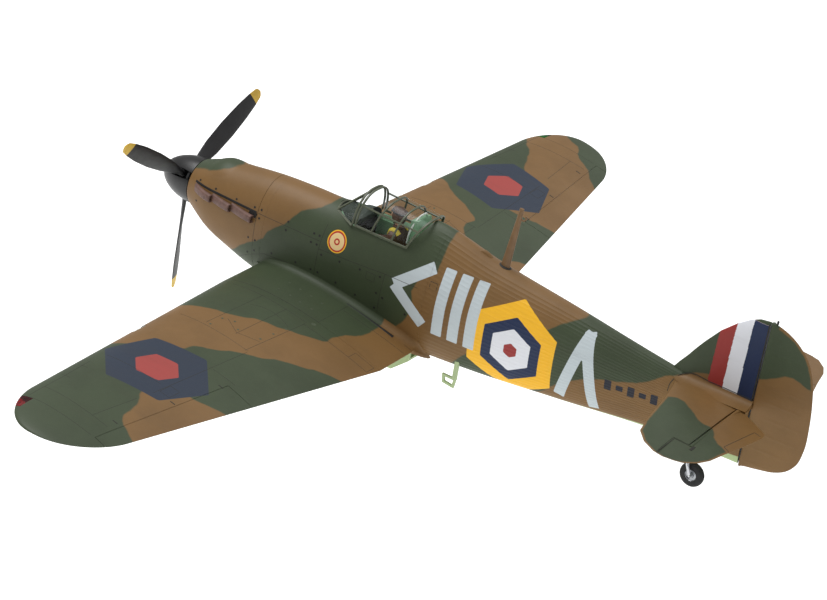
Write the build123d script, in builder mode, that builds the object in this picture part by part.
from build123d import *
import os
from math import asin, cos, pi, radians, sin, tan

# A radio-controlled low-wing warbird of 1.22 m span, made of separate pieces.
# +X points to the aircraft's left wing tip, -Y to the nose and +Z up. The origin is the centre
# of the flat face under the radiator, on which the model lies with its wheels up.
# Fore-and-aft places are stations, in mm behind a datum 12 mm ahead of the spinner's tip, and
# heights are in mm above the thrust line. aft() and up() turn them into Y and Z.

os.makedirs("parts", exist_ok=True)

# Frame
DATUM_TO_ORIGIN = 390
THRUST_Z = 124
EPS = 0.05  # radial running clearance of a pin in its bore
GAP = 0.6  # gap between a control surface and the fixed airframe

# Wing
HALF_SPAN = 612
CENTRE_HALF = 122
ROOT_LE, ROOT_TE = 202.9, 451.5
LE_SWEEP, TE_SWEEP = 0.099, 0.163
TIP_START, TIP_MIDDLE, TIP_POWER = 535, 0.45, 0.93
WING_Z, INCIDENCE, DIHEDRAL = -55.4, 4.16, 3.89
ROOT_THICKNESS, TIP_THICKNESS, CAMBER = 0.15, 0.10, 0.02
SPAR, SPAR_SLOPE = (285, -52.3), 0.068

# Fuselage: station, top, bottom, half width, height of the widest line, upper and lower roundness
NOSE_SECTIONS = [
    (70, 31.8, -31.8, 31.8, 0, 2.0, 2.0),
    (100, 43, -50.5, 39.8, -2, 2.0, 2.3),
    (143, 49.5, -67, 43, -5, 2.0, 2.45),
    (185.6, 54.5, -78.5, 45, -7, 2.0, 2.6),
]
BODY_SECTIONS = [
    (186, 54.5, -78.5, 45, -7, 2.0, 2.6),
    (240, 57, -84, 46.5, -8, 2.0, 2.7),
    (290, 58, -87, 47.5, -9, 2.0, 2.7),
    (350, 71, -89, 47.5, -8, 1.9, 2.7),
    (430, 84, -90, 46.5, -8, 1.6, 2.7),
    (520, 65, -85.5, 43, -7, 1.75, 2.6),
    (640, 47, -74.5, 31.5, -5, 2.0, 2.5),
    (775, 29, -61, 15.5, -5, 2.0, 2.4),
    (884, 19, -58, 4.6, -6, 2.0, 2.4),
]
BODY_WALL, COWL_WALL = 5.5, 3.0
SILL = 47.5

# Propeller and motor
SPINNER_TIP, SPINNER_LENGTH, SPINNER_RADIUS = 12, 57.2, 31.4
PROP_RADIUS, PROP_STATION, BLADES = 166, 46, 3
SHAFT_RADIUS, MOTOR_RADIUS = 3, 19

# Tail
TAIL_Z, TAIL_HALF = 18, 183
ELEVATOR_HINGE, RUDDER_HINGE, NOSE_RADIUS = 878, 888.2, 3.0
RUDDER_TOP, RUDDER_FOOT = 133, -59
ELEVATOR_HORN_X, TAIL_HORN_LENGTH = -15, 16
TAIL_WHEEL = (831, -98)
TAIL_WHEEL_RADIUS, TAIL_WHEEL_WIDTH, TAIL_POST = 16, 9, 824

# Main gear
GEAR_X, GEAR_STATION, GEAR_Z = 106, 236, -65.5
LEG_LENGTH, LEG_RADIUS = 76, 3.5
WHEEL_RADIUS, WHEEL_WIDTH = 28, 12
WHEEL_Z = -55

# Ailerons
AILERON_IN, AILERON_OUT = 338, 561
AILERON_HORN, AILERON_ARM_AHEAD = 112, 70
AILERON_HORN_LENGTH = 22

# Cockpit
HOOD_FRONT, HOOD_REAR, HOOD_HALF = 329, 427, 34.6
GLASS, FRAME = 1.0, 1.2

pieces = {}


def aft(station):
    """Y of a place that many mm behind the datum."""
    return station - DATUM_TO_ORIGIN


def up(height):
    """Z of a place that many mm above the thrust line."""
    return THRUST_Z + height


def at(x, station, height):
    return (x, aft(station), up(height))


def cross_plane(station):
    """A plane across the fuselage, with local x to the left wing and local y up."""
    return Plane(origin=(0, aft(station), 0), x_dir=(1, 0, 0), z_dir=(0, -1, 0))


def side_plane(x):
    """A plane along the fuselage, with local x aft and local y up."""
    return Plane.YZ.offset(x)


def box_between(low, high):
    """A box from its two corners, each as x, station and height."""
    size = [b - a for a, b in zip(low, high)]
    centre = [(a + b) / 2 for a, b in zip(low, high)]
    return Pos(*at(*centre)) * Box(*size, mode=Mode.PRIVATE)


def rod_between(start, end, radius):
    """A round rod from one X, Y, Z point to another."""
    run = Vector(*end) - Vector(*start)
    return Plane(origin=start, z_dir=run) * Cylinder(
        radius, run.length, align=(Align.CENTER, Align.CENTER, Align.MIN), mode=Mode.PRIVATE
    )


def slab(outline, x_low, x_high):
    """A side-view outline of (station, height) points, extruded from x_low to x_high."""
    with BuildPart(mode=Mode.PRIVATE) as made:
        with BuildSketch(side_plane(x_low)):
            with BuildLine():
                Polyline(*[(aft(s), up(z)) for s, z in outline], close=True)
            make_face()
        extrude(amount=x_high - x_low)
    return made.part


def mirrored(part):
    with BuildPart(mode=Mode.PRIVATE) as made:
        mirror(part, about=Plane.YZ)
    return made.part


# ---------------------------------------------------------------- fuselage sections


def ring_point(section, angle, inset=0):
    """A point of a fuselage section: 90 degrees is its top, 0 its side and -90 its bottom."""
    _, top, bottom, half, middle, upper, lower = section
    power = 2 / (upper if angle >= 0 else lower)
    reach = (top - middle if angle >= 0 else middle - bottom) - inset
    x = (half - inset) * cos(radians(angle)) ** power
    z = middle + reach * (abs(sin(radians(angle))) ** power) * (1 if angle >= 0 else -1)
    return x, up(z)


def half_body(sections, inset=0):
    """The left half of a fuselage body lofted through its sections."""
    with BuildPart(mode=Mode.PRIVATE) as made:
        for section in sections:
            with BuildSketch(cross_plane(section[0])):
                with BuildLine():
                    points = [ring_point(section, 90 - 15 * i, inset) for i in range(1, 12)]
                    top = (0, ring_point(section, 90, inset)[1])
                    foot = (0, ring_point(section, -90, inset)[1])
                    Spline(top, *points, foot)
                    Line(foot, top)
                make_face()
        loft(ruled=True)
    return made.part


# ---------------------------------------------------------------- wing sections


def edges_at(x):
    """Stations of the leading and trailing edges at a distance out from the centreline."""
    out = max(0, x - CENTRE_HALF)
    lead = ROOT_LE + LE_SWEEP * out
    trail = ROOT_TE - TE_SWEEP * out
    if x > TIP_START:
        keep = cos(asin((x - TIP_START) / (HALF_SPAN - TIP_START))) ** TIP_POWER
        middle = lead + TIP_MIDDLE * (trail - lead)
        lead = middle - (middle - lead) * keep
        trail = middle + (trail - middle) * keep
    return lead, trail


def skin(x, share, side, lift=0):
    """Y and Z on the upper (side 1) or lower (side -1) skin, a share of the chord aft."""
    lead, trail = edges_at(x)
    chord = trail - lead
    station = lead + share * chord
    rise = tan(radians(DIHEDRAL)) * max(0, x - CENTRE_HALF)
    plane = WING_Z + rise - tan(radians(INCIDENCE)) * (station - ROOT_LE)
    taper = max(0, x - CENTRE_HALF) / (HALF_SPAN - CENTRE_HALF)
    ratio = ROOT_THICKNESS + (TIP_THICKNESS - ROOT_THICKNESS) * taper
    shape = 0.2969 * share**0.5 - 0.126 * share - 0.3516 * share**2
    shape += 0.2843 * share**3 - 0.1015 * share**4
    bend = 4 * CAMBER * share * (1 - share)
    return aft(station), up(plane + chord * (bend + side * 5 * ratio * shape) + lift)


def wing_section(x):
    """One wing section, drawn round the leading edge from upper to lower trailing edge."""
    shares = [(1 - cos(pi * i / 12)) / 2 for i in range(13)]
    loop = [skin(x, u, 1) for u in reversed(shares)] + [skin(x, u, -1) for u in shares[1:]]
    with BuildSketch(side_plane(x), mode=Mode.PRIVATE) as made:
        with BuildLine():
            Spline(*loop)
            Line(loop[-1], loop[0])
        make_face()
    return made.sketch


def wing_point(x, share, side, lift=0):
    return (x, *skin(x, share, side, lift))


# ---------------------------------------------------------------- fuselage and cowl

body_outer = half_body(BODY_SECTIONS)
body_inner = half_body([(185, *BODY_SECTIONS[0][1:]), *BODY_SECTIONS[1:-1]], BODY_WALL)

# The wing passes under the fuselage: everything below its upper skin is cut away there.
with BuildPart() as wing_saddle:
    with BuildSketch(side_plane(-80)):
        with BuildLine():
            over = [skin(0, (1 - cos(pi * i / 12)) / 2, 1, 0.3) for i in range(13)]
            front, rear = aft(ROOT_LE - 0.5), aft(ROOT_TE + 0.5)
            Spline(*over)
            Polyline(
                over[-1], (rear, over[-1][1]), (rear, up(-130)), (front, up(-130)), (front, over[0][1]), over[0]
            )
        make_face()
    extrude(amount=160)

cockpit_cut = slab(
    [(286, 58.5), (315, SILL), (406, SILL), (428, 88), (428, 120), (286, 120)], -60, 60
)
fin_slot = box_between((-3.6, 770, 22.6), (3.6, 890, 60))
tail_slot = box_between((-30, 784, 13.2), (30, 890, 22.8))
tail_bore = Pos(*at(0, TAIL_POST, -55)) * Cylinder(3.2, 30)
mast_pocket = box_between((-2, 527, 50), (2, 535, 80))
step_pocket = box_between((28.5, 503, -90), (31.5, 509, -64))
elevator_exit = box_between((-30, 686, -21.6), (-9, 800, -2))
rudder_exit = box_between((-24, 740, -29.5), (-7, 836, -15.6))

with BuildPart() as shell_left:
    add(body_outer)
    add(body_inner, mode=Mode.SUBTRACT)
    add(wing_saddle.part, mode=Mode.SUBTRACT)
    for cutter in (cockpit_cut, fin_slot, tail_slot, tail_bore, mast_pocket):
        add(cutter, mode=Mode.SUBTRACT)

with BuildPart() as fuselage_left:
    add(shell_left.part)
    add(step_pocket, mode=Mode.SUBTRACT)
pieces["fuselage_left"] = fuselage_left

with BuildPart() as fuselage_right:
    mirror(shell_left.part, about=Plane.YZ)
    add(elevator_exit, mode=Mode.SUBTRACT)
    add(rudder_exit, mode=Mode.SUBTRACT)
pieces["fuselage_right"] = fuselage_right

# The belly fairing closes the fuselage under the wing, behind the wheel wells.
BELLY_FLAT = -88.5
with BuildPart() as belly_fairing:
    add(body_outer)
    mirror(body_outer, about=Plane.YZ)
    with BuildSketch(side_plane(-80)):
        with BuildLine():
            shares = [0.27 + 0.73 * i / 8 for i in range(9)]
            under = [skin(0, u, -1, -0.3) for u in shares]
            rear = aft(ROOT_TE + 0.1)
            Spline(*under)
            Polyline(under[-1], (rear, under[-1][1]), (rear, up(-130)), (under[0][0], up(-130)), under[0])
        make_face()
    extrude(amount=160, mode=Mode.INTERSECT)
    add(box_between((-60, 338, -130), (60, 442, BELLY_FLAT)), mode=Mode.SUBTRACT)
pieces["belly_fairing"] = belly_fairing

with BuildPart() as nose_cowl:
    add(half_body(NOSE_SECTIONS))
    mirror(half_body(NOSE_SECTIONS), about=Plane.YZ)
    hollow = [(NOSE_SECTIONS[0][0] - 1, *NOSE_SECTIONS[0][1:])]
    hollow += [*NOSE_SECTIONS[1:-1], (NOSE_SECTIONS[-1][0] + 1, *NOSE_SECTIONS[-1][1:])]
    cavity = half_body(hollow, COWL_WALL)
    add(cavity, mode=Mode.SUBTRACT)
    add(mirrored(cavity), mode=Mode.SUBTRACT)
    for side in (-1, 1):
        low, high = sorted((side * 30, side * 60))
        add(box_between((low, 83.6, -1.4), (high, 184.6, 10.4)), mode=Mode.SUBTRACT)
pieces["nose_cowl"] = nose_cowl

# Each exhaust is a rail in the cowl's slot with three ejector stubs.
STUBS = [(87, 117), (118, 148), (149, 180)]
RAIL_FRONT, RAIL_REAR, RAIL_DEPTH = (36.2, 84), (44.2, 184.2), 4


def rail_x(station):
    share = (station - RAIL_FRONT[1]) / (RAIL_REAR[1] - RAIL_FRONT[1])
    return RAIL_FRONT[0] + share * (RAIL_REAR[0] - RAIL_FRONT[0])


with BuildPart() as exhaust_left:
    with BuildSketch(Plane.XY.offset(up(-1))):
        with BuildLine():
            (xa, sa), (xb, sb) = RAIL_FRONT, RAIL_REAR
            Polyline(
                (xa, aft(sa)), (xb, aft(sb)), (xb - RAIL_DEPTH, aft(sb)), (xa - RAIL_DEPTH, aft(sa)), close=True
            )
        make_face()
    extrude(amount=11)
    with BuildSketch(Plane.XY.offset(up(1))):
        for start, end in STUBS:
            with BuildLine():
                Polyline(
                    (rail_x(start) - 1, aft(start)),
                    (rail_x(start) + 1.5, aft(start + 2)),
                    (rail_x(end) + 4, aft(end - 4)),
                    (rail_x(end) + 3, aft(end)),
                    (rail_x(end) - 1, aft(end - 6)),
                    close=True,
                )
            make_face()
    extrude(amount=7.5)
with BuildPart() as exhaust_stacks:
    add(exhaust_left.part)
    mirror(exhaust_left.part, about=Plane.YZ)
pieces["exhaust_stacks"] = exhaust_stacks

# ---------------------------------------------------------------- radiator under the belly

RADIATOR_FRONT, RADIATOR_REAR, RADIATOR_HALF = 343, 437, 31
RADIATOR_FLAT = -THRUST_Z
INTAKE_LOW, INTAKE_HIGH = -113, -92
with BuildPart() as radiator_housing:
    add(
        slab(
            [
                (RADIATOR_FRONT, BELLY_FLAT), (RADIATOR_REAR, BELLY_FLAT), (RADIATOR_REAR, -101),
                (RADIATOR_REAR - 26, RADIATOR_FLAT), (RADIATOR_FRONT + 26, RADIATOR_FLAT), (RADIATOR_FRONT, -118),
            ],
            -RADIATOR_HALF,
            RADIATOR_HALF,
        )
    )
    fillet(radiator_housing.edges().filter_by(Axis.Y).group_by(Axis.Z)[0], 6)
    add(
        box_between((-26, RADIATOR_FRONT - 1, INTAKE_LOW), (26, RADIATOR_FRONT + 18, INTAKE_HIGH)),
        mode=Mode.SUBTRACT,
    )
    add(box_between((-26, RADIATOR_REAR - 18, -98), (26, RADIATOR_REAR + 1, INTAKE_HIGH)), mode=Mode.SUBTRACT)
pieces["radiator_housing"] = radiator_housing

with BuildPart() as radiator_core:
    add(box_between((-26, RADIATOR_FRONT + 14, INTAKE_LOW), (26, RADIATOR_FRONT + 18, INTAKE_HIGH)))
    with Locations(Plane(origin=at(0, RADIATOR_FRONT + 14, -103), x_dir=(1, 0, 0), z_dir=(0, -1, 0))):
        with GridLocations(7, 6.6, 7, 3):
            Hole(2.2, depth=2)
pieces["radiator_core"] = radiator_core

# ---------------------------------------------------------------- wing centre section and gear wells

with BuildPart() as wing_center:
    extrude(wing_section(-CENTRE_HALF), amount=2 * CENTRE_HALF, dir=(1, 0, 0))
    for side in (-1, 1):
        with Locations(at(side * (GEAR_X - LEG_LENGTH), GEAR_STATION, -90)):
            Cylinder(
                WHEEL_RADIUS + 1.6, 42.3, align=(Align.CENTER, Align.CENTER, Align.MIN), mode=Mode.SUBTRACT
            )
        low, high = sorted((side * (GEAR_X - LEG_LENGTH), side * (GEAR_X + 12)))
        add(box_between((low, 221, -90), (high, 251, -49)), mode=Mode.SUBTRACT)
    for side in (-1, 1):
        with Locations(Plane(origin=at(side * CENTRE_HALF, *SPAR), z_dir=(side, 0, 0))):
            Hole(4.05, depth=60)
pieces["wing_center"] = wing_center

# ---------------------------------------------------------------- outer wings and ailerons

hinge_in = Vector(*wing_point(AILERON_IN, 0.79, 1))
hinge_out = Vector(*wing_point(AILERON_OUT, 0.86, 1))
AILERON_LENGTH = (hinge_out - hinge_in).length
hinge_run = (hinge_out - hinge_in).normalized()
hinge_frame = Plane(origin=hinge_in, x_dir=hinge_run, z_dir=Vector(0, 0, 1) - hinge_run * hinge_run.Z)


def in_hinge(x, y, z):
    """A point given along, behind and above the left aileron's hinge."""
    return hinge_frame.from_local_coords(Vector(x, y, z))


def hinge_box(low, high):
    """A box square to the left aileron's hinge."""
    size = [b - a for a, b in zip(low, high)]
    centre = [(a + b) / 2 for a, b in zip(low, high)]
    return hinge_frame * Pos(*centre) * Box(*size, mode=Mode.PRIVATE)


def hinge_prism(outline, start, end):
    """An outline of (behind, above) points, extruded along the left aileron's hinge."""
    plane = Plane(origin=in_hinge(start, 0, 0), x_dir=hinge_frame.y_dir, z_dir=hinge_frame.x_dir)
    with BuildPart(mode=Mode.PRIVATE) as made:
        with BuildSketch(plane):
            with BuildLine():
                Polyline(*outline, close=True)
            make_face()
        extrude(amount=end - start)
    return made.part


with BuildPart() as panel:
    for x in (CENTRE_HALF + 0.2, TIP_START):
        add(wing_section(x))
    loft(ruled=True)
with BuildPart() as tip:
    for angle in (0, 25, 43, 58, 70, 79, 85):
        add(wing_section(TIP_START + (HALF_SPAN - TIP_START) * sin(radians(angle))))
    loft()
with BuildPart() as outer_wing:
    add(panel.part)
    add(tip.part)

# The aileron turns about its top edge, so its front face leans back below the hinge.
DROP = 40
lean = DROP * tan(radians(24))
aileron_side = [(0.3, 30), (0.3, 0), (0.3 + lean, -DROP), (110, -DROP), (110, 30)]
aileron_keep = hinge_prism(aileron_side, 0, AILERON_LENGTH)
aileron_gap = hinge_prism([(-0.3, 30), (-0.3, -DROP), (110, -DROP), (110, 30)], -GAP, AILERON_LENGTH + GAP)

arm_pivot = in_hinge(AILERON_HORN, -AILERON_ARM_AHEAD, 0)
horn_tip = in_hinge(AILERON_HORN, 3, -AILERON_HORN_LENGTH)
arm_tip = in_hinge(AILERON_HORN, 3 - AILERON_ARM_AHEAD, -AILERON_HORN_LENGTH)
hinge_x = hinge_frame.x_dir

servo_bay = hinge_box((AILERON_HORN + 2.2, -88, -30), (AILERON_HORN + 27, -63.5, 6.4))
arm_slot = hinge_box((AILERON_HORN - 3.4, -84, -30), (AILERON_HORN + 2.3, -52, 6.4))

landing_box = box_between((308, 200, -60), (332, 229, -30))
nav_box = box_between((562, 240, -40), (584, 268, -10))
spar_hole = rod_between(
    at(CENTRE_HALF - 1, SPAR[0], SPAR[1] - SPAR_SLOPE),
    at(CENTRE_HALF + 192, SPAR[0], SPAR[1] + 192 * SPAR_SLOPE),
    4.05,
)

with BuildPart() as wing_left:
    add(outer_wing.part)
    for cutter in (aileron_gap, servo_bay, arm_slot, landing_box, nav_box, spar_hole):
        add(cutter, mode=Mode.SUBTRACT)
pieces["wing_left"] = wing_left

with BuildPart() as wing_right:
    mirror(wing_left.part, about=Plane.YZ)
pieces["wing_right"] = wing_right

with BuildPart() as landing_left:
    add(outer_wing.part)
    add(landing_box, mode=Mode.INTERSECT)
with BuildPart() as nav_left:
    add(outer_wing.part)
    add(nav_box, mode=Mode.INTERSECT)
with BuildPart() as wing_lights:
    for lens in (landing_left.part, nav_left.part):
        add(lens)
        mirror(lens, about=Plane.YZ)
pieces["wing_lights"] = wing_lights

# One bent carbon joiner per side, straight in the centre section and rising into the panel.
with BuildPart() as spar_left:
    add(rod_between(at(CENTRE_HALF - 58, *SPAR), at(CENTRE_HALF, *SPAR), 4))
    add(rod_between(at(CENTRE_HALF, *SPAR), at(CENTRE_HALF + 188, SPAR[0], SPAR[1] + 188 * SPAR_SLOPE), 4))
    with Locations(at(CENTRE_HALF, *SPAR)):
        Sphere(4)
with BuildPart() as wing_spars:
    add(spar_left.part)
    mirror(spar_left.part, about=Plane.YZ)
pieces["wing_spars"] = wing_spars

with BuildPart() as aileron_left:
    add(outer_wing.part)
    add(aileron_keep, mode=Mode.INTERSECT)
    horn_side = [(6, -2), (18, -3), (5, -25), (1.5, -25), (0.5, -21)]
    add(hinge_prism(horn_side, AILERON_HORN - 1, AILERON_HORN + 1))
    pin_hole = rod_between(horn_tip - hinge_x * 3, horn_tip + hinge_x * 3, 0.85)
    add(pin_hole, mode=Mode.SUBTRACT)
pieces["aileron_left"] = aileron_left

with BuildPart() as aileron_right:
    mirror(aileron_left.part, about=Plane.YZ)
pieces["aileron_right"] = aileron_right

# The servo's splined shaft stands out of its side and turns in the arm's place.
with BuildPart() as servo_left:
    add(hinge_box((AILERON_HORN + 2.6, -87.5, -6), (AILERON_HORN + 26.5, -64, 6)))
    add(rod_between(arm_pivot + hinge_x * 3, arm_pivot - hinge_x * 1.2, 2))
with BuildPart() as aileron_servos:
    add(servo_left.part)
    mirror(servo_left.part, about=Plane.YZ)
pieces["aileron_servos"] = aileron_servos


def arm_between(pivot, tip_point, normal, bore):
    """A servo arm 1.6 mm thick from its shaft bore to its tip, with a hole at the tip."""
    along = (tip_point - pivot).normalized()
    plane = Plane(origin=pivot - normal * 0.8, x_dir=along, z_dir=normal)
    with BuildPart(mode=Mode.PRIVATE) as made:
        with BuildSketch(plane):
            Circle(4)
            with Locations(((tip_point - pivot).length, 0)):
                Circle(2)
            with Locations(((tip_point - pivot).length / 2, 0)):
                Rectangle((tip_point - pivot).length, 3.6)
            Circle(bore, mode=Mode.SUBTRACT)
            with Locations(((tip_point - pivot).length, 0)):
                Circle(0.85, mode=Mode.SUBTRACT)
        extrude(amount=1.6)
    return made.part


def pushrod(start, end, normal, radius, offset):
    """A rod beside two pivots, with a pin into each at its ends."""
    end_run = (end - start).normalized() * 1.4
    with BuildPart(mode=Mode.PRIVATE) as made:
        add(rod_between(start + normal * offset - end_run, end + normal * offset + end_run, radius))
        for point in (start, end):
            add(rod_between(point - normal * 1.6, point + normal * offset, 0.8))
    return made.part


with BuildPart() as aileron_arm_left:
    add(arm_between(arm_pivot, arm_tip, hinge_x, 2 + EPS))
pieces["aileron_arm_left"] = aileron_arm_left
with BuildPart() as aileron_arm_right:
    mirror(aileron_arm_left.part, about=Plane.YZ)
pieces["aileron_arm_right"] = aileron_arm_right
with BuildPart() as aileron_rod_left:
    add(pushrod(arm_tip, horn_tip, hinge_x * -1, 1, 2.4))
pieces["aileron_rod_left"] = aileron_rod_left
with BuildPart() as aileron_rod_right:
    mirror(aileron_rod_left.part, about=Plane.YZ)
pieces["aileron_rod_right"] = aileron_rod_right

# ---------------------------------------------------------------- retracting main gear

with BuildPart() as unit_left:
    add(box_between((GEAR_X - 5, 224, -69.5), (GEAR_X + 11, 248, -49)))
    add(box_between((GEAR_X - 6, 229.6, -72), (GEAR_X + 6.5, 242.4, -58)), mode=Mode.SUBTRACT)
    add(rod_between(at(GEAR_X, 226, GEAR_Z), at(GEAR_X, 246, GEAR_Z), 1.5))
with BuildPart() as retract_units:
    add(unit_left.part)
    mirror(unit_left.part, about=Plane.YZ)
pieces["retract_units"] = retract_units

AXLE_X = GEAR_X - LEG_LENGTH
with BuildPart() as gear_leg_left:
    add(rod_between(at(GEAR_X, GEAR_STATION - 6, GEAR_Z), at(GEAR_X, GEAR_STATION + 6, GEAR_Z), 5))
    add(rod_between(at(GEAR_X, GEAR_STATION, GEAR_Z), at(AXLE_X, GEAR_STATION, GEAR_Z), LEG_RADIUS))
    with Locations(at(AXLE_X, GEAR_STATION, GEAR_Z)):
        Sphere(LEG_RADIUS)
    add(rod_between(at(AXLE_X, GEAR_STATION, GEAR_Z), at(AXLE_X, GEAR_STATION, WHEEL_Z + 6.4), 2))
    pivot_hole = rod_between(at(GEAR_X, 225, GEAR_Z), at(GEAR_X, 247, GEAR_Z), 1.5 + EPS)
    add(pivot_hole, mode=Mode.SUBTRACT)
pieces["gear_leg_left"] = gear_leg_left
with BuildPart() as gear_leg_right:
    mirror(gear_leg_left.part, about=Plane.YZ)
pieces["gear_leg_right"] = gear_leg_right

with BuildPart() as gear_door_left:
    with BuildSketch(Plane.XY.offset(up(-70.4))):
        with BuildLine():
            Polyline(
                (GEAR_X - 8, aft(224)), (GEAR_X - 8, aft(248)), (AXLE_X + 16, aft(250)), (AXLE_X - 8, aft(244)),
                (AXLE_X - 8, aft(228)), (AXLE_X + 16, aft(222)), close=True
            )
        make_face()
    extrude(amount=1.4)
pieces["gear_door_left"] = gear_door_left
with BuildPart() as gear_door_right:
    mirror(gear_door_left.part, about=Plane.YZ)
pieces["gear_door_right"] = gear_door_right

with BuildPart() as wheel_left:
    with Locations(at(AXLE_X, GEAR_STATION, WHEEL_Z)):
        Cylinder(WHEEL_RADIUS, WHEEL_WIDTH)
    fillet(wheel_left.edges().filter_by(GeomType.CIRCLE), 4.5)
    with Locations(at(AXLE_X, GEAR_STATION, WHEEL_Z)):
        Cylinder(2 + EPS, WHEEL_WIDTH + 2, mode=Mode.SUBTRACT)
pieces["wheel_left"] = wheel_left
with BuildPart() as wheel_right:
    mirror(wheel_left.part, about=Plane.YZ)
pieces["wheel_right"] = wheel_right

# ---------------------------------------------------------------- propeller, spinner and motor

thrust_axis = Axis(at(0, 0, 0), (0, 1, 0))


def turned(outline):
    """A solid of revolution about the thrust line from (station, radius) points."""
    with BuildPart(mode=Mode.PRIVATE) as made:
        with BuildSketch(side_plane(0)):
            with BuildLine():
                Polyline(*[(aft(s), up(r)) for s, r in outline], close=True)
            make_face()
        revolve(axis=thrust_axis)
    return made.part


def ogive(length, radius, nose):
    """A spinner's solid shape, with its nose at a station."""
    with BuildPart(mode=Mode.PRIVATE) as made:
        with BuildSketch(side_plane(0)):
            with BuildLine():
                shape = [(0.08, 0.39), (0.25, 0.66), (0.5, 0.866), (0.78, 0.975)]
                points = [(aft(nose + length * a), up(radius * b)) for a, b in shape]
                tip_point, rim = (aft(nose), up(0)), (aft(nose + length), up(radius))
                Spline(tip_point, *points, rim, tangents=[(0, 1), (1, 0.03)])
                Polyline(rim, (aft(nose + length), up(0)), tip_point)
            make_face()
        revolve(axis=thrust_axis)
    return made.part


BLADE_ANGLES = [30 + 360 / BLADES * i for i in range(BLADES)]
with BuildPart() as spinner:
    add(ogive(SPINNER_LENGTH, SPINNER_RADIUS, SPINNER_TIP))
    add(ogive(SPINNER_LENGTH, SPINNER_RADIUS - 1.6, SPINNER_TIP + 2.2), mode=Mode.SUBTRACT)
    for angle in BLADE_ANGLES:
        notch = box_between((11, PROP_STATION - 8, -6.5), (41, PROP_STATION + 26, 6.5))
        add(notch.rotate(thrust_axis, -angle), mode=Mode.SUBTRACT)
pieces["spinner"] = spinner

with BuildPart() as spinner_backplate:
    add(turned([(63, SHAFT_RADIUS), (66, SHAFT_RADIUS), (66, 29.1), (63, 29.1)]))
pieces["spinner_backplate"] = spinner_backplate

BLADE_SECTIONS = [  # radius, chord, thickness, pitch
    (7, 11, 9, 48),
    (34, 17, 6, 42),
    (75, 25, 3.8, 29),
    (125, 24, 2.4, 20),
    (152, 17, 1.8, 17),
    (PROP_RADIUS, 7, 1.2, 16),
]
with BuildPart() as blade:
    for radius, chord, thick, pitch in BLADE_SECTIONS:
        with BuildSketch(side_plane(radius)):
            with Locations((aft(PROP_STATION), up(0))):
                Ellipse(chord / 2, thick / 2, rotation=90 + pitch)
    loft()
with BuildPart() as propeller:
    add(turned([(37.6, 0), (55, 0), (55, 12), (37.6, 10)]))
    for angle in BLADE_ANGLES:
        add(blade.part.rotate(thrust_axis, -angle))
    add(turned([(30, 0), (60, 0), (60, SHAFT_RADIUS), (30, SHAFT_RADIUS)]), mode=Mode.SUBTRACT)
pieces["propeller"] = propeller

# The shaft and the nut on its threaded end.
with BuildPart() as motor_shaft:
    add(turned([(29, 0), (112, 0), (112, SHAFT_RADIUS), (29, SHAFT_RADIUS)]))
    with BuildSketch(cross_plane(37.4)):
        with Locations((0, up(0))):
            RegularPolygon(6, 6)
            Circle(SHAFT_RADIUS + EPS, mode=Mode.SUBTRACT)
    extrude(amount=6)
pieces["motor_shaft"] = motor_shaft

with BuildPart() as motor_rotor:
    add(
        turned(
            [
                (72, SHAFT_RADIUS), (72, 8), (77, MOTOR_RADIUS - 3), (80, MOTOR_RADIUS), (106, MOTOR_RADIUS),
                (106, MOTOR_RADIUS - 2), (82, MOTOR_RADIUS - 2), (80, SHAFT_RADIUS),
            ]
        )
    )
pieces["motor_rotor"] = motor_rotor

with BuildPart() as motor_stator:
    add(
        turned(
            [
                (83, SHAFT_RADIUS + EPS), (83, MOTOR_RADIUS - 3), (105, MOTOR_RADIUS - 3), (108, 10.6),
                (113, 10.6), (113, 18), (116.9, 18), (116.9, SHAFT_RADIUS + EPS),
            ]
        )
    )
    with Locations(cross_plane(113)):
        with Locations((0, up(0))):
            with PolarLocations(14, 4, start_angle=45):
                Hole(1.6, depth=10)
pieces["motor_stator"] = motor_stator

with BuildPart() as firewall:
    wall_section = (117, 45.4, -56, 40.2, -3, 2.0, 2.35)
    half = half_body([wall_section, (121, *wall_section[1:])], 6)
    add(half)
    mirror(half, about=Plane.YZ)
    with Locations(cross_plane(117)):
        with Locations((0, up(0))):
            with PolarLocations(14, 4, start_angle=45):
                Hole(1.6, depth=10)
pieces["firewall"] = firewall

with BuildPart() as motor_screws:
    with Locations(cross_plane(112.9)):
        with Locations((0, up(0))):
            with PolarLocations(14, 4, start_angle=45):
                Cylinder(2.8, 1.8, align=(Align.CENTER, Align.CENTER, Align.MIN))
                Cylinder(1.5, 10, align=(Align.CENTER, Align.CENTER, Align.MAX))
pieces["motor_screws"] = motor_screws

# ---------------------------------------------------------------- equipment inside


def block(low, high, radius):
    """A box with rounded upright edges."""
    with BuildPart(mode=Mode.PRIVATE) as made:
        add(box_between(low, high))
        fillet(made.edges().filter_by(Axis.Z), radius)
    return made.part


with BuildPart() as speed_controller:
    add(block((-14, 121, -36), (14, 168, -27), 2))
pieces["speed_controller"] = speed_controller
with BuildPart() as battery:
    add(block((-17, 194, -32.4), (17, 296, -6), 3))
pieces["battery"] = battery

# Plywood trays glued across the fuselage, one under the battery and one under the tail servos.
with BuildPart() as equipment_trays:
    add(block((-37.5, 192, -35.4), (37.5, 300, -32.4), 3))
    add(block((-31.8, 456, -33), (31.8, 560, -30), 3))
    add(box_between((-20, 484, -34), (-11.4, 562, -29)), mode=Mode.SUBTRACT)
pieces["equipment_trays"] = equipment_trays
with BuildPart() as receiver:
    add(block((-2, 461, -30), (22, 484, -17), 2))
pieces["receiver"] = receiver

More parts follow.
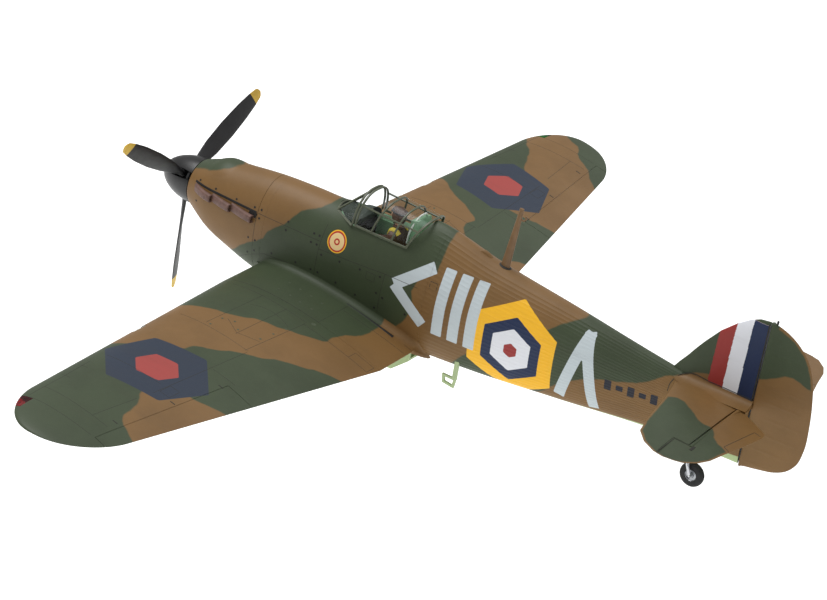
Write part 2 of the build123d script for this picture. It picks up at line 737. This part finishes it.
# Tail servos: the elevator's lies on its side, and the rudder's stands upright.
elevator_pivot = Vector(*at(ELEVATOR_HORN_X, 500, -24))
rudder_pivot = Vector(*at(12, 541, -5.5))
with BuildPart() as tail_servos:
    add(box_between((-12.6, 487, -30), (10, 510, -18)))
    add(rod_between(elevator_pivot + Vector(3, 0, 0), elevator_pivot - Vector(1.2, 0, 0), 2))
    add(box_between((6, 530, -30), (18, 553, -8)))
    add(rod_between(rudder_pivot - Vector(0, 0, 3), rudder_pivot + Vector(0, 0, 1.2), 2))
pieces["tail_servos"] = tail_servos

# ---------------------------------------------------------------- tail

FIN_EDGE = [(776, 27), (791, 49), (809, 76), (826, 98), (844, 115), (859, 126), (871, 131.5), (884.4, 133)]
with BuildPart() as fin:
    with BuildSketch(side_plane(-3.5)):
        with BuildLine():
            edge = [(aft(s), up(z)) for s, z in FIN_EDGE]
            Spline(*edge)
            Polyline(edge[-1], (edge[-1][0], up(22.7)), (aft(774), up(22.7)), edge[0])
        make_face()
    extrude(amount=7)
    chamfer(fin.edges().filter_by(GeomType.BSPLINE), 2)
pieces["fin"] = fin

TAIL_THICK = 4.5


def tail_outline():
    """Half the tailplane and elevator together, in plan: x and station."""
    front = [(0, 785), (31, 794), (60, 800.5), (122, 810), (151, 817), (169, 832), (TAIL_HALF, 864)]
    back = [(178, 888), (165, 901), (150, 908), (120, 914), (95, 920), (57, 927)]
    return front, back


with BuildPart() as tail_plan:
    with BuildSketch(Plane.XY.offset(up(TAIL_Z - 10))):
        with BuildLine():
            front, back = tail_outline()
            curve = [(x, aft(s)) for x, s in front + back]
            Spline(*curve)
            Polyline(curve[-1], (0, curve[-1][1]), curve[0])
        make_face()
        mirror(about=Plane.YZ)
    extrude(amount=20)

# Side view of the tail surfaces, the same all along the span.
with BuildPart() as tail_profile:
    with BuildSketch(side_plane(-200)):
        with BuildLine():
            low_back = (aft(ELEVATOR_HINGE), up(TAIL_Z - NOSE_RADIUS))
            high_back = (aft(ELEVATOR_HINGE), up(TAIL_Z + NOSE_RADIUS))
            nose = (aft(784), up(TAIL_Z))
            ahead = [(790, 2.6), (805, 4.2), (825, TAIL_THICK), (850, 4)]
            upper = [(aft(s), up(TAIL_Z + h)) for s, h in ahead]
            lower = [(aft(s), up(TAIL_Z - h)) for s, h in reversed(ahead)]
            Spline(low_back, *lower, nose, *upper, high_back)
            Polyline(high_back, (aft(929), up(TAIL_Z + 0.5)), (aft(929), up(TAIL_Z - 0.5)), low_back)
        make_face()
    extrude(amount=400)

HORN_BALANCE_X, HORN_BALANCE_FRONT = 140, 855
with BuildPart() as tailplane:
    add(tail_plan.part)
    add(tail_profile.part, mode=Mode.INTERSECT)
    add(box_between((-200, ELEVATOR_HINGE - NOSE_RADIUS - 0.5, 0), (200, 940, 40)), mode=Mode.SUBTRACT)
    for side in (-1, 1):
        low, high = sorted((side * (HORN_BALANCE_X - GAP), side * 200))
        add(box_between((low, HORN_BALANCE_FRONT - GAP, 0), (high, 940, 40)), mode=Mode.SUBTRACT)
pieces["tailplane"] = tailplane

elevator_horn_tip = Vector(*at(ELEVATOR_HORN_X, ELEVATOR_HINGE, TAIL_Z - TAIL_HORN_LENGTH))
elevator_arm_tip = elevator_pivot - Vector(0, 0, TAIL_HORN_LENGTH)
with BuildPart() as elevator_plan:
    with BuildSketch(Plane.XY.offset(up(TAIL_Z - 10))):
        with BuildLine():
            Polyline(
                (15, aft(ELEVATOR_HINGE)), (15, aft(879.5)), (45, aft(926)), (45, aft(940)), (200, aft(940)),
                (200, aft(HORN_BALANCE_FRONT)), (HORN_BALANCE_X, aft(HORN_BALANCE_FRONT)),
                (HORN_BALANCE_X, aft(ELEVATOR_HINGE)), close=True
            )
        make_face()
        mirror(about=Plane.YZ)
    extrude(amount=20)
with BuildPart() as elevator:
    add(tail_plan.part)
    add(tail_profile.part, mode=Mode.INTERSECT)
    add(elevator_plan.part, mode=Mode.INTERSECT)
    for side in (-1, 1):
        add(
            rod_between(
                at(side * 13, ELEVATOR_HINGE, TAIL_Z),
                at(side * (HORN_BALANCE_X + 2), ELEVATOR_HINGE, TAIL_Z),
                NOSE_RADIUS,
            )
        )
    add(slab([(877, 16.5), (883, 16.5), (881, -1), (875.6, -1)], ELEVATOR_HORN_X - 1, ELEVATOR_HORN_X + 1))
    add(
        rod_between(
            elevator_horn_tip - Vector(3, 0, 0), elevator_horn_tip + Vector(3, 0, 0), 0.85
        ),
        mode=Mode.SUBTRACT,
    )
    add(rod_between(at(-33, ELEVATOR_HINGE, TAIL_Z), at(33, ELEVATOR_HINGE, TAIL_Z), 1.25), mode=Mode.SUBTRACT)
    add(rod_between(at(-32, ELEVATOR_HINGE, TAIL_Z), at(32, ELEVATOR_HINGE, TAIL_Z), 1.2))
pieces["elevator"] = elevator

with BuildPart() as elevator_arm:
    add(arm_between(elevator_pivot, elevator_arm_tip, Vector(1, 0, 0), 2 + EPS))
pieces["elevator_arm"] = elevator_arm
with BuildPart() as elevator_rod:
    add(pushrod(elevator_arm_tip, elevator_horn_tip, Vector(-1, 0, 0), 1, 2.4))
pieces["elevator_rod"] = elevator_rod

RUDDER_EDGE = [
    (896, 131.5), (918, 122.5), (939, 104), (950, 82), (956, 55), (959.5, 25), (960, -8),
    (955, -29), (944, -42.5), (930, -50), (912, -54.5),
]
with BuildPart() as rudder:
    with BuildSketch(side_plane(-4)):
        with BuildLine():
            edge = [(aft(s), up(z)) for s, z in RUDDER_EDGE]
            head, foot = (aft(RUDDER_HINGE), up(RUDDER_TOP)), (aft(RUDDER_HINGE), up(RUDDER_FOOT))
            Spline(head, *edge, foot)
            Line(foot, head)
        make_face()
    extrude(amount=8)
    with BuildSketch(Plane.XY.offset(up(RUDDER_FOOT - 1))):
        with BuildLine():
            Polyline(
                (-NOSE_RADIUS, aft(RUDDER_HINGE)), (NOSE_RADIUS, aft(RUDDER_HINGE)), (0.6, aft(961)),
                (-0.6, aft(961)), close=True
            )
        make_face()
    extrude(amount=RUDDER_TOP - RUDDER_FOOT + 2, mode=Mode.INTERSECT)
    add(rod_between(at(0, RUDDER_HINGE, RUDDER_FOOT), at(0, RUDDER_HINGE, RUDDER_TOP), NOSE_RADIUS))
    with BuildSketch(Plane.XY.offset(up(-31))):
        with BuildLine():
            Polyline(
                (-2, aft(RUDDER_HINGE - 1)), (-18, aft(RUDDER_HINGE - 2.4)), (-18, aft(RUDDER_HINGE + 2.4)),
                (-2, aft(RUDDER_HINGE + 8)), close=True
            )
        make_face()
    extrude(amount=2)
    rudder_horn_tip = Vector(*at(-TAIL_HORN_LENGTH, RUDDER_HINGE, -30))
    add(
        rod_between(rudder_horn_tip - Vector(0, 0, 3), rudder_horn_tip + Vector(0, 0, 3), 0.85),
        mode=Mode.SUBTRACT,
    )
pieces["rudder"] = rudder

rudder_arm_tip = rudder_pivot - Vector(TAIL_HORN_LENGTH, 0, 0)
with BuildPart() as rudder_arm:
    add(arm_between(rudder_pivot, rudder_arm_tip, Vector(0, 0, 1), 2 + EPS))
pieces["rudder_arm"] = rudder_arm
with BuildPart() as rudder_rod:
    add(pushrod(rudder_arm_tip, rudder_horn_tip, Vector(0, 0, 1), 1, 2.4))
pieces["rudder_rod"] = rudder_rod

with BuildPart() as tail_light:
    with Locations(at(0, 892, 133.2)):
        Cylinder(1.4, 5, align=(Align.CENTER, Align.CENTER, Align.MIN))
pieces["tail_light"] = tail_light

# The tail wheel turns with the rudder on an upright post, on an axle from its left side.
wheel_station, wheel_height = TAIL_WHEEL
with BuildPart() as tail_wheel_fork:
    add(rod_between(at(0, TAIL_POST, -42), at(0, TAIL_POST, -78), 2.6))
    add(box_between((-3, 820, -80), (9, 828, -76)))
    add(slab([(820, -76), (828, -76), (834, -95), (834, -101), (828, -101), (827, -95)], 6, 9))
    add(
        rod_between(
            at(7, wheel_station, wheel_height), at(-5, wheel_station, wheel_height), 1.5
        )
    )
pieces["tail_wheel_fork"] = tail_wheel_fork
with BuildPart() as tail_wheel:
    with BuildSketch(side_plane(-TAIL_WHEEL_WIDTH / 2)):
        with Locations((aft(wheel_station), up(wheel_height))):
            Circle(TAIL_WHEEL_RADIUS)
    extrude(amount=TAIL_WHEEL_WIDTH)
    fillet(tail_wheel.edges().filter_by(GeomType.CIRCLE), 3.2)
    add(
        rod_between(at(-8, wheel_station, wheel_height), at(8, wheel_station, wheel_height), 1.5 + EPS),
        mode=Mode.SUBTRACT,
    )
pieces["tail_wheel"] = tail_wheel

# ---------------------------------------------------------------- cockpit


def arch_body(front_section, rear_section, inset):
    """The solid under a hood between two arches, each as station, half width and top."""
    with BuildPart(mode=Mode.PRIVATE) as made:
        for station, half, top in (front_section, rear_section):
            with BuildSketch(cross_plane(station)):
                with BuildLine():
                    base, power = SILL - 3, 2 / 2.6
                    points = []
                    for i in range(13):
                        angle = pi * i / 12
                        across = (half - inset) * abs(cos(angle)) ** power
                        across *= 1 if i < 6 else -1
                        rise = (top - inset - base) * sin(angle) ** power
                        points.append((0 if i == 6 else across, up(base + (rise if 0 < i < 12 else 0))))
                    Spline(*points)
                    Line(points[-1], points[0])
                make_face()
        loft(ruled=True)
    return made.part


def arch_shell(front_section, rear_section, outer, inner, trim):
    """A wall of an arch, between two insets, kept inside a side-view outline."""
    with BuildPart(mode=Mode.PRIVATE) as made:
        add(arch_body(front_section, rear_section, outer))
        add(arch_body(front_section, rear_section, inner), mode=Mode.SUBTRACT)
        add(trim, mode=Mode.INTERSECT)
    return made.part


WINDSCREEN = ((284, 34, 95), (334, 34, 95))
HOOD = ((322, HOOD_HALF, 94.2), (434, HOOD_HALF, 86.6))
hood_trim = slab([(330.5, SILL + 0.8), (407, SILL + 0.8), (427, 100), (336.5, 100)], -50, 50)
lower_row = [[(334, 52), (352, 52), (361, 75), (341, 75)], [(356, 52), (383, 52), (391, 75), (365, 75)]]
lower_row += [[(387, 52), (404.5, 52), (414.5, 73), (395, 75)]]
upper_row = [[(342, 79), (363, 79), (367, 100), (344, 100)], [(367, 79), (393, 79), (397, 100), (371, 100)]]
upper_row += [[(397, 78), (416.4, 76), (424, 100), (401, 100)]]

with BuildPart() as canopy_frame:
    add(arch_shell(*HOOD, 0, FRAME, hood_trim))
    for opening in lower_row + upper_row:
        add(slab(opening, -50, 50), mode=Mode.SUBTRACT)
pieces["canopy_frame"] = canopy_frame
with BuildPart() as canopy_glass:
    add(arch_shell(*HOOD, FRAME, FRAME + GLASS, hood_trim))
pieces["canopy_glass"] = canopy_glass

# The windscreen is a wedge: a flat sloping front and two sides under the same arch.
SCREEN_FOOT, SCREEN_TOP = (288.5, 57.9), (331, 94.8)


def screen_solid(inset):
    """The windscreen's outer shape, drawn in by an inset."""
    with BuildPart(mode=Mode.PRIVATE) as made:
        add(arch_body((280, 34, 96), (336, 34, 96), inset))
        run = inset * 1.3
        wedge = [(SCREEN_FOOT[0] + run, SCREEN_FOOT[1]), (SCREEN_TOP[0] + run, SCREEN_TOP[1])]
        wedge += [(334, SCREEN_TOP[1]), (329.6, SILL + 0.4), (318, SILL + 0.4)]
        add(slab(wedge, -50, 50), mode=Mode.INTERSECT)
    return made.part


with BuildPart() as windscreen_frame:
    add(screen_solid(0))
    add(screen_solid(FRAME), mode=Mode.SUBTRACT)
    add(slab([(296, 59.5), (316.5, 52), (326, 52), (328.5, 87)], -50, 50), mode=Mode.SUBTRACT)
    screen_normal = (0, SCREEN_FOOT[1] - SCREEN_TOP[1], SCREEN_TOP[0] - SCREEN_FOOT[0])
    front_pane = Plane(origin=at(0, *SCREEN_FOOT), x_dir=(1, 0, 0), z_dir=screen_normal)
    add(front_pane * Pos(0, 29, 0) * Box(18, 40, 12, mode=Mode.PRIVATE), mode=Mode.SUBTRACT)
pieces["windscreen_frame"] = windscreen_frame
with BuildPart() as windscreen_glass:
    add(screen_solid(FRAME + 0.02))
    add(screen_solid(FRAME + GLASS), mode=Mode.SUBTRACT)
pieces["windscreen_glass"] = windscreen_glass

with BuildPart() as cockpit_tub:
    add(box_between((-26.5, 322, -4), (26.5, 424, 42)))
    add(box_between((-24.5, 324, -1), (24.5, 422, 60)), mode=Mode.SUBTRACT)
pieces["cockpit_tub"] = cockpit_tub
with BuildPart() as instrument_panel:
    add(box_between((-24, 325, 2), (24, 328, 43)))
    with Locations(Plane(origin=at(0, 328, 26), x_dir=(1, 0, 0), z_dir=(0, 1, 0))):
        with GridLocations(13, 13, 3, 2):
            Hole(4.5, depth=1)
pieces["instrument_panel"] = instrument_panel
with BuildPart() as headrest:
    add(slab([(398, -1), (416, -1), (416, 60), (409, 80), (399, 78)], -15, 15))
    with Locations(Plane(origin=at(0, 398, 70), x_dir=(1, 0, 0), z_dir=(0, -1, 0))):
        Hole(3.5, depth=6)
pieces["headrest"] = headrest
with BuildPart() as pilot_figure:
    with Locations(at(0, 378, 15)):
        Box(30, 20, 32)
    with Locations(at(0, 373, 36)):
        Box(40, 18, 26)
    with Locations(at(0, 372, 52)):
        Cylinder(6, 12)
    with Locations(at(0, 371.5, 69)):
        Sphere(12.5)
pieces["pilot_figure"] = pilot_figure

# ---------------------------------------------------------------- mast and step

with BuildPart() as antenna_mast:
    for height, station, length, width in ((61, 531, 13, 5.5), (144.5, 539.5, 6, 3)):
        with BuildSketch(Plane.XY.offset(up(height))):
            with Locations((0, aft(station))):
                Ellipse(width / 2, length / 2)
    loft()
    add(box_between((-2, 527, 52), (2, 535, 64)))
    add(body_outer, mode=Mode.SUBTRACT)
    add(mirrored(body_outer), mode=Mode.SUBTRACT)
    add(box_between((-2, 527, 52), (2, 535, 64)))
pieces["antenna_mast"] = antenna_mast

with BuildPart() as boarding_step:
    add(box_between((28.5, 503, -97), (31.5, 509, -66)))
    add(slab([(488, -95), (509, -95), (507, -109), (490, -107)], 28.5, 31.5))
    add(slab([(491.5, -98), (505.5, -98), (504, -105.6), (493, -104)], 27, 33), mode=Mode.SUBTRACT)
pieces["boarding_step"] = boarding_step

# ---------------------------------------------------------------- files

for name, piece in pieces.items():
    piece.part.label = name
    export_step(piece.part, f"parts/{name}.step")
